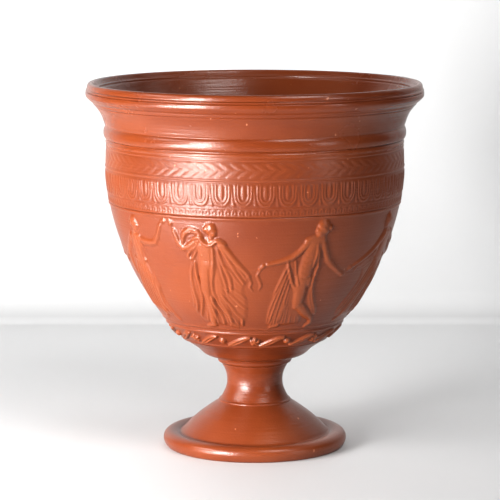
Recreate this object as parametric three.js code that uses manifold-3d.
// Footed goblet of red slip ware, thrown and moulded in one piece: a turned foot and stem,
// and a deep bowl with a frieze of dancers under a border of beads, eggs and leaves.
// Units are millimetres, +Z is up and the origin is on the table under the middle of the foot.
import * as THREE from 'three';
import { mergeVertices } from 'three/addons/utils/BufferGeometryUtils.js';
import Module from 'manifold-3d';

const wasm = await Module();
wasm.setup();

// Height of the goblet, and the rises of its stages, stacked from the table to the lip.
// The bowl's wall takes up what the other stages leave.
const gobletHeight = 185.4;
const footRimRise = 7;
const footConeRise = 15.6;
const stemRise = 22;
const underBowlRise = 11.6;
const scrollBandRise = 9.2;
const shoulderRise = 15.4;
const torusRise = 6.4;
const flareRise = 12.8;
const rimBandRise = 5.8;
const lipRise = 3;
const bowlWallRise = gobletHeight - footRimRise - footConeRise - stemRise - underBowlRise
  - scrollBandRise - shoulderRise - torusRise - flareRise - rimBandRise - lipRise;

// Outside radii
const footRadius = 46.7;
const stemBaseRadius = 20.4;
const stemRadius = 14.1;
const collarRadius = 19.4;
const underBowlRadius = 37;
const bowlFootRadius = 45.2;
const bowlRadius = 75.5;
const neckRadius = 75.1;
const torusRadius = 76.1;
const rimRadius = 85;

// Walls and the details of the turned surfaces
const bowlWall = 4.4;
const bowlFloor = 8;
const footWall = 5;
const footHollowHeight = 24;
const restRingWidth = 4.6;
const footRimWidth = 8.7;
const footRimCrest = 0.8;
const footConeBulge = 0.7;
const stemFlare = 3;
const stemWaistShare = 0.46;
const collarRise = 2.8;
const turnedStep = 0.8;
const torusDepth = 1.2;
const lipThickness = 2.2;

// Bowl wall: how steeply it leaves the scroll band, and how far each end of its curve holds on
const wallStartSlope = 0.79;
const wallStartHold = 37.6;
const wallEndHold = 2.9;

// Bands of relief on the bowl
const groundLine = 2.7;
const figureHeight = 56;
const beadRidgeGap = 1.3;
const beadRidgeWidth = 4.4;
const beadRidgeDepth = 0.9;
const eggLength = 10.4;
const eggWidth = 6.2;
const eggDepth = 1.3;
const eggGap = 1.2;
const eggCount = 44;
const leafLength = 5.4;
const leafWidth = 3;
const leafDepth = 1.2;
const leafCount = 36;
const leafGap = 2.4;
const leafLean = 34;
const scrollCount = 16;
const scrollWidth = 3.4;
const scrollDepth = 1.4;
const scrollLean = 22;
const knobRadius = 2;
const reliefRoundness = 0.52;
const upperArmRadius = 1.9;
const wristRadius = 1.12;
const headWidth = 3.6;
const headHeight = 4.25;
const pleatDepth = 1.5;
const clothEdge = 0.7;
const reliefRoot = 1.2;

// Angles of the eight dancers round the bowl in degrees, from the front towards the right
const dancerAngles = [-62, -21, 24, 68, 114, 160, 206, 252];
const frontDancers = 4;
const backLimbs = 1;

// Facets round the turned shape and along its curves
const facets = 36;
const ridgeSides = 4;

// Heights of the levels between the stages
const footTop = footRimRise;
const stemFoot = footTop + footConeRise;
const stemTop = stemFoot + stemRise;
const underBowlTop = stemTop + underBowlRise;
const wallFoot = underBowlTop + scrollBandRise;
const wallTop = wallFoot + bowlWallRise;
const shoulderTop = wallTop + shoulderRise;
const torusTop = shoulderTop + torusRise;
const flareTop = torusTop + flareRise;
const rimBandTop = flareTop + rimBandRise;
const lipTop = rimBandTop + lipRise;

// Curves of the outside that relief lies on
const wallCurve = new THREE.CubicBezierCurve(
  new THREE.Vector2(bowlFootRadius, wallFoot),
  new THREE.Vector2(bowlFootRadius + wallStartSlope * wallStartHold, wallFoot + wallStartHold),
  new THREE.Vector2(bowlRadius, wallTop - wallEndHold),
  new THREE.Vector2(bowlRadius, wallTop),
);
const shoulderCurve = new THREE.LineCurve(
  new THREE.Vector2(bowlRadius, wallTop),
  new THREE.Vector2(neckRadius, shoulderTop),
);
const scrollCurve = new THREE.LineCurve(
  new THREE.Vector2(underBowlRadius + turnedStep, underBowlTop + turnedStep),
  new THREE.Vector2(bowlFootRadius, wallFoot),
);

// Radius and outward direction of a curve of the outside at a height
function surfaceAt(curve, height) {
  let low = 0;
  let high = 1;
  for (let step = 0; step < 30; step += 1) {
    const middle = (low + high) / 2;
    if (curve.getPoint(middle).y < height) {
      low = middle;
    } else {
      high = middle;
    }
  }
  const spot = curve.getPoint(low);
  const run = curve.getTangent(low);
  return { radius: spot.x, height: spot.y, out: new THREE.Vector2(run.y, -run.x) };
}

// Points of a curve, with every one moved inwards by a wall
function curvePoints(curve, steps, wall = 0) {
  const points = [];
  for (let step = 0; step <= steps; step += 1) {
    const spot = curve.getPoint(step / steps);
    const run = curve.getTangent(step / steps);
    points.push(new THREE.Vector2(spot.x - wall * run.y, spot.y + wall * run.x));
  }
  return points;
}

function bend(startRadius, startHeight, holdRadius, holdHeight, endRadius, endHeight) {
  return new THREE.QuadraticBezierCurve(
    new THREE.Vector2(startRadius, startHeight),
    new THREE.Vector2(holdRadius, holdHeight),
    new THREE.Vector2(endRadius, endHeight),
  );
}

// Turned outside and inside
function footHollowProfile() {
  const restInner = footRadius - footRimWidth / 2 - restRingWidth / 2;
  return [
    new THREE.Vector2(0, footHollowHeight),
    new THREE.Vector2(stemRadius - footWall, footHollowHeight - turnedStep * 2),
    new THREE.Vector2(restInner - turnedStep * 2, footWall * 0.6),
    new THREE.Vector2(restInner, 0),
    new THREE.Vector2(restInner + restRingWidth, 0),
  ];
}

function footProfile() {
  const rimMiddle = footRadius - footRimWidth / 2;
  const rimHalf = (footRimRise + footRimCrest) / 2;
  const rim = new THREE.EllipseCurve(
    rimMiddle, rimHalf, footRimWidth / 2, rimHalf, -Math.PI / 4, Math.PI * 0.6,
  );
  const valley = rimMiddle - footRimWidth / 2;
  const coneMiddle = (valley + stemBaseRadius) / 2;
  const cone = bend(
    valley, footTop,
    coneMiddle + footConeBulge * 2, (footTop + stemFoot) / 2,
    stemBaseRadius, stemFoot - turnedStep,
  );
  return [...curvePoints(rim, 3), ...curvePoints(cone, 2)];
}

function stemProfile() {
  const waist = stemFoot + stemRise * stemWaistShare;
  const collar = stemTop - collarRise;
  const lower = bend(
    stemRadius + stemFlare, stemFoot + turnedStep * 2,
    stemRadius, (stemFoot + waist) / 2,
    stemRadius, waist,
  );
  const upper = bend(
    stemRadius, waist,
    stemRadius, (waist + collar) / 2,
    stemRadius + stemFlare, collar,
  );
  return [
    new THREE.Vector2(stemBaseRadius - turnedStep, stemFoot + turnedStep * 0.2),
    ...curvePoints(lower, 3),
    ...curvePoints(upper, 2).slice(1),
    new THREE.Vector2(collarRadius, stemTop),
  ];
}

function underBowlProfile() {
  const swell = bend(
    collarRadius + turnedStep * 2, stemTop + turnedStep,
    (collarRadius + underBowlRadius) / 2 + turnedStep * 2, (stemTop + underBowlTop) / 2 - turnedStep,
    underBowlRadius, underBowlTop - turnedStep,
  );
  return [
    ...curvePoints(swell, 2),
    ...curvePoints(scrollCurve, 1).slice(0, 1),
  ];
}

function ridgeOnWall(height) {
  const spot = surfaceAt(wallCurve, height);
  return new THREE.Vector2(
    spot.radius + beadRidgeDepth * spot.out.x,
    spot.height + beadRidgeDepth * spot.out.y,
  );
}

function bowlProfile() {
  const wall = curvePoints(wallCurve, 5);
  const beads = wallFoot + groundLine + figureHeight + beadRidgeGap;
  const foot = surfaceAt(wallCurve, beads);
  const top = surfaceAt(wallCurve, beads + beadRidgeWidth);
  const below = wall.filter((point) => point.y < beads - beadRidgeGap);
  return [
    ...below,
    new THREE.Vector2(foot.radius, foot.height),
    ridgeOnWall(beads + beadRidgeWidth / 2),
    new THREE.Vector2(top.radius, top.height),
    new THREE.Vector2(bowlRadius, wallTop),
  ];
}

function rimProfile() {
  const torusMiddle = (shoulderTop + torusTop) / 2;
  const torus = new THREE.EllipseCurve(
    torusRadius - torusDepth, torusMiddle, torusDepth, torusRise / 2, -Math.PI * 0.36, Math.PI * 0.3,
  );
  const flare = bend(
    neckRadius + turnedStep * 0.4, torusTop,
    neckRadius + turnedStep * 1.6, torusTop + flareRise * 0.54,
    rimRadius - turnedStep * 3, flareTop - turnedStep,
  );
  return [
    new THREE.Vector2(neckRadius, shoulderTop - turnedStep),
    new THREE.Vector2(neckRadius - turnedStep * 0.7, shoulderTop),
    ...curvePoints(torus, 2),
    ...curvePoints(flare, 2),
    new THREE.Vector2(rimRadius, flareTop + rimBandRise * 0.4),
    new THREE.Vector2(rimRadius, rimBandTop - turnedStep),
    new THREE.Vector2(rimRadius - turnedStep, rimBandTop),
    new THREE.Vector2(rimRadius - turnedStep * 2, lipTop),
  ];
}

function insideProfile() {
  const lipInner = rimRadius - turnedStep * 2 - lipThickness;
  const flare = bend(
    lipInner - turnedStep, rimBandTop - turnedStep,
    bowlRadius - bowlWall + turnedStep, flareTop - turnedStep,
    neckRadius - bowlWall, torusTop,
  );
  const wall = curvePoints(wallCurve, 3, bowlWall).reverse();
  const wallEnd = wall[wall.length - 1];
  const floorHeight = stemTop + bowlFloor;
  const floor = bend(
    wallEnd.x, wallEnd.y,
    wallEnd.x * 0.72, floorHeight,
    0, floorHeight,
  );
  return [
    new THREE.Vector2(lipInner, lipTop),
    ...curvePoints(flare, 1),
    ...wall,
    ...curvePoints(floor, 2).slice(1),
  ];
}

// Closed mesh to solid, and solid to geometry
function solidOf(geometry) {
  const bare = geometry.clone();
  bare.deleteAttribute('normal');
  bare.deleteAttribute('uv');
  const merged = mergeVertices(bare, 1e-4);
  const corners = merged.index.array;
  const faces = [];
  for (let face = 0; face < corners.length; face += 3) {
    const [first, second, third] = corners.slice(face, face + 3);
    if (first !== second && second !== third && third !== first) {
      faces.push(first, second, third);
    }
  }
  return new wasm.Manifold(new wasm.Mesh({
    numProp: 3,
    vertProperties: new Float32Array(merged.attributes.position.array),
    triVerts: new Uint32Array(faces),
  }));
}

function geometryOf(solid) {
  const mesh = solid.getMesh();
  const geometry = new THREE.BufferGeometry();
  geometry.setAttribute('position', new THREE.BufferAttribute(mesh.vertProperties, 3));
  geometry.setIndex(new THREE.BufferAttribute(mesh.triVerts, 1));
  geometry.computeVertexNormals();
  return geometry;
}

// A flat drawing, x to the right, y up and z out, laid round the goblet at an angle
function layOn(curve, geometry, foot, degrees) {
  const spots = geometry.attributes.position;
  const middle = THREE.MathUtils.degToRad(degrees);
  for (let index = 0; index < spots.count; index += 1) {
    const under = surfaceAt(curve, foot + spots.getY(index));
    const angle = middle + spots.getX(index) / under.radius;
    const radius = under.radius + spots.getZ(index) * under.out.x;
    const height = under.height + spots.getZ(index) * under.out.y;
    spots.setXYZ(index, radius * Math.sin(angle), -radius * Math.cos(angle), height);
  }
  return geometry;
}

// A rounded tapering form between two points of the drawing, half sunk in the wall
function limb([startX, startY], [endX, endY], startRadius, endRadius) {
  const length = Math.hypot(endX - startX, endY - startY);
  const form = new THREE.LatheGeometry([
    new THREE.Vector2(0, -startRadius * 0.8),
    new THREE.Vector2(startRadius, 0),
    new THREE.Vector2(endRadius, length),
    new THREE.Vector2(0, length + endRadius * 0.8),
  ], ridgeSides);
  form.scale(1, 1, reliefRoundness);
  form.rotateZ(-Math.atan2(endX - startX, endY - startY));
  form.translate(startX, startY, 0);
  return form;
}

function knob([x, y], width, height) {
  const form = new THREE.SphereGeometry(1, 6, 4);
  form.scale(width, height, width * reliefRoundness * 1.3);
  form.translate(x, y, 0);
  return form;
}

// A long bud with its long way up, half sunk in the wall
function bud(width, length, depth) {
  const form = new THREE.LatheGeometry([
    new THREE.Vector2(0, 0),
    new THREE.Vector2(width / 2, length / 2),
    new THREE.Vector2(0, length),
  ], ridgeSides);
  form.scale(1, 1, depth * 2 / width);
  return form;
}

// A robe in pleats from the neck to the hem. Each row runs from its left end to its right end,
// with a swell of the body under it and a depth of pleat, both as shares of the pleat's depth.
function robe(rows, folds) {
  const onRoot = 0;
  const inFold = 1;
  const onRidge = 2;
  const section = new THREE.Shape();
  section.moveTo(0, onRoot);
  section.lineTo(1, onRoot);
  for (let edge = folds * 2; edge >= 0; edge -= 1) {
    section.lineTo(edge / (folds * 2), edge % 2 === 1 ? onRidge : inFold);
  }
  const steps = rows.length - 1;
  const form = new THREE.ExtrudeGeometry(section, { depth: steps, steps, bevelEnabled: false });
  const spots = form.attributes.position;
  for (let index = 0; index < spots.count; index += 1) {
    const across = spots.getX(index);
    const level = Math.round(spots.getY(index));
    const row = rows[Math.round(spots.getZ(index))];
    const body = row.swell * Math.sin(Math.PI * across);
    const pleat = level === onRidge ? row.pleat : 0;
    const out = level === onRoot ? -reliefRoot : clothEdge + pleatDepth * (body + pleat);
    spots.setXYZ(
      index,
      THREE.MathUtils.lerp(row.left[0], row.right[0], across),
      THREE.MathUtils.lerp(row.left[1], row.right[1], across),
      out,
    );
  }
  return form;
}

// The dancers' poses, as percentages of the figure's height from the foot of its middle line
const drapedBody = {
  head: [8, 93],
  folds: 4,
  rows: [
    { left: [-6, 84], right: [18, 82], swell: 0.6, pleat: 0.2 },
    { left: [-8, 64], right: [24, 66], swell: 1, pleat: 0.4 },
    { left: [-15, 36], right: [35, 44], swell: 0.4, pleat: 1 },
    { left: [-18, 8], right: [24, 4], swell: 0.2, pleat: 1.1 },
  ],
  limbs: [
    { ends: [[1, 58], [-4, 28]], radii: [7.5, 5.5] },
    { ends: [[-4, 27], [-7, 3]], radii: [5.4, 3.4] },
    { ends: [[-6, 84], [9, 79]], radii: [2.6, 2.4] },
    { ends: [[-5, 80], [-12, 66]], radii: [3, 3.4] },
  ],
};

const stridingBody = {
  head: [2.7, 93],
  folds: 4,
  rows: [
    { left: [-9, 84], right: [9, 84], swell: 0.8, pleat: 0.2 },
    { left: [-19, 62], right: [10, 60], swell: 1, pleat: 0.4 },
    { left: [-27, 32], right: [14, 30], swell: 0.3, pleat: 1 },
    { left: [-27, 4], right: [6, 8], swell: 0.1, pleat: 1.1 },
  ],
  limbs: [
    { ends: [[-3, 50], [-6, 24]], radii: [7.5, 5.6] },
    { ends: [[-5, 22], [14, 6]], radii: [5.2, 3] },
    { ends: [[-8, 84], [8, 84]], radii: [2.4, 2.4] },
  ],
};

// The four dancers that the frieze repeats: each one's body, which way it turns, its arms from
// shoulder to elbow, and the height and place of the clasp with its right-hand neighbour
const dancers = [
  {
    body: stridingBody, turn: -1,
    leftArm: [[-8, 80], [-24, 64]],
    rightArm: [[10, 76], [34, 75]],
    clasp: { height: 96, share: 0.66 },
  },
  {
    body: drapedBody, turn: 1,
    leftArm: [[-4, 83], [-19, 75]],
    rightArm: [[17, 79], [27, 64]],
    clasp: { height: 54, share: 0.44 },
  },
  {
    body: stridingBody, turn: 1,
    leftArm: [[-6, 82], [-19, 67]],
    rightArm: [[9, 80], [22, 62]],
    clasp: { height: 51, share: 0.38 },
  },
  {
    body: drapedBody, turn: -1,
    leftArm: [[-16, 79], [-32, 62]],
    rightArm: [[6, 82], [24, 64]],
    clasp: { height: 52, share: 0.5 },
  },
];

function percent(point, turn = 1) {
  return [point[0] * turn * figureHeight / 100, point[1] * figureHeight / 100];
}

function armForms([shoulder, elbow], hand) {
  const elbowRadius = (upperArmRadius * 3 + wristRadius) / 4;
  return [
    limb(percent(shoulder), percent(elbow), upperArmRadius, elbowRadius),
    limb(percent(elbow), hand, elbowRadius, wristRadius),
  ];
}

// Hand of a dancer towards a neighbour, on the drawing round the dancer's own middle line
function handAt(clasp, degreesAway) {
  const height = clasp.height * figureHeight / 100;
  const spot = surfaceAt(wallCurve, wallFoot + groundLine + height);
  return [THREE.MathUtils.degToRad(degreesAway) * spot.radius, height];
}

function robeForm({ rows, folds }, turn) {
  const sized = rows.map(({ left, right, swell, pleat }) => {
    const ends = [percent(left, turn), percent(right, turn)];
    if (turn < 0) {
      ends.reverse();
    }
    return { left: ends[0], right: ends[1], swell, pleat };
  });
  return robe(sized, folds);
}

function dancerForms(place) {
  const share = figureHeight / 100;
  const dancer = dancers[place % dancers.length];
  const before = dancers[(place + dancers.length - 1) % dancers.length];
  const angle = dancerAngles[place];
  const next = place + 1 < dancerAngles.length ? dancerAngles[place + 1] : dancerAngles[0] + 360;
  const last = place > 0 ? dancerAngles[place - 1] : dancerAngles[dancerAngles.length - 1] - 360;
  const reach = (next - angle) * dancer.clasp.share;
  const back = (last - angle) * (1 - before.clasp.share);
  const { body, turn } = dancer;
  const limbCount = place < frontDancers ? body.limbs.length : backLimbs;
  const forms = [
    robeForm(body, turn),
    knob(percent(body.head, turn), headWidth, headHeight),
    ...armForms(dancer.leftArm, handAt(before.clasp, back)),
    ...armForms(dancer.rightArm, handAt(dancer.clasp, reach)),
  ];
  for (const { ends, radii } of body.limbs.slice(0, limbCount)) {
    const [start, end] = ends.map((point) => percent(point, turn));
    forms.push(limb(start, end, radii[0] * share, radii[1] * share));
  }
  return forms.map((form) => layOn(wallCurve, form, wallFoot + groundLine, angle));
}

// Borders
function eggForms() {
  const foot = wallTop - eggGap / 2 - eggLength;
  const forms = [];
  for (let place = 0; place < eggCount; place += 1) {
    const form = bud(eggWidth, eggLength, eggDepth);
    forms.push(layOn(wallCurve, form, foot, (place + 0.5) * 360 / eggCount));
  }
  return forms;
}

function leafForms() {
  const middle = wallTop + leafGap + leafLength * 0.6;
  const lean = THREE.MathUtils.degToRad(leafLean);
  const forms = [];
  for (const side of [-1, 1]) {
    for (let place = 0; place < leafCount; place += 1) {
      const form = bud(leafWidth, leafLength, leafDepth);
      form.translate(0, -leafLength, 0);
      form.rotateZ(side > 0 ? Math.PI + lean : -lean);
      forms.push(layOn(shoulderCurve, form, middle, (place + 0.5) * 360 / leafCount));
    }
  }
  return forms;
}

function scrollForms() {
  const spacing = 360 / scrollCount;
  const middle = (underBowlTop + wallFoot) / 2;
  const run = THREE.MathUtils.degToRad(spacing) * (underBowlRadius + bowlFootRadius) / 2;
  const leafRun = run - knobRadius * 2;
  const forms = [];
  for (let place = 0; place < scrollCount; place += 1) {
    const round = new THREE.OctahedronGeometry(knobRadius);
    forms.push(layOn(scrollCurve, round, middle, place * spacing));
    const leaf = bud(scrollWidth, leafRun, scrollDepth);
    leaf.translate(0, -leafRun / 2, 0);
    leaf.rotateZ(THREE.MathUtils.degToRad(scrollLean - 90));
    forms.push(layOn(scrollCurve, leaf, middle, (place + 0.5) * spacing));
  }
  return forms;
}

const profile = [
  ...footHollowProfile(),
  ...footProfile(),
  ...stemProfile(),
  ...underBowlProfile(),
  ...bowlProfile(),
  ...rimProfile(),
  ...insideProfile(),
];
const turned = new THREE.LatheGeometry(profile, facets);
turned.rotateX(Math.PI / 2);

let goblet = solidOf(turned);
const relief = [...eggForms(), ...leafForms(), ...scrollForms()];
for (let place = 0; place < dancerAngles.length; place += 1) {
  relief.push(...dancerForms(place));
}
for (const form of relief) {
  goblet = goblet.add(solidOf(form));
}

const slip = new THREE.MeshStandardMaterial({ color: 0xb04e2b, roughness: 0.3, metalness: 0 });
const gobletMesh = new THREE.Mesh(geometryOf(goblet), slip);
gobletMesh.name = 'goblet';

const group = new THREE.Group();
group.add(gobletMesh);

export default group;
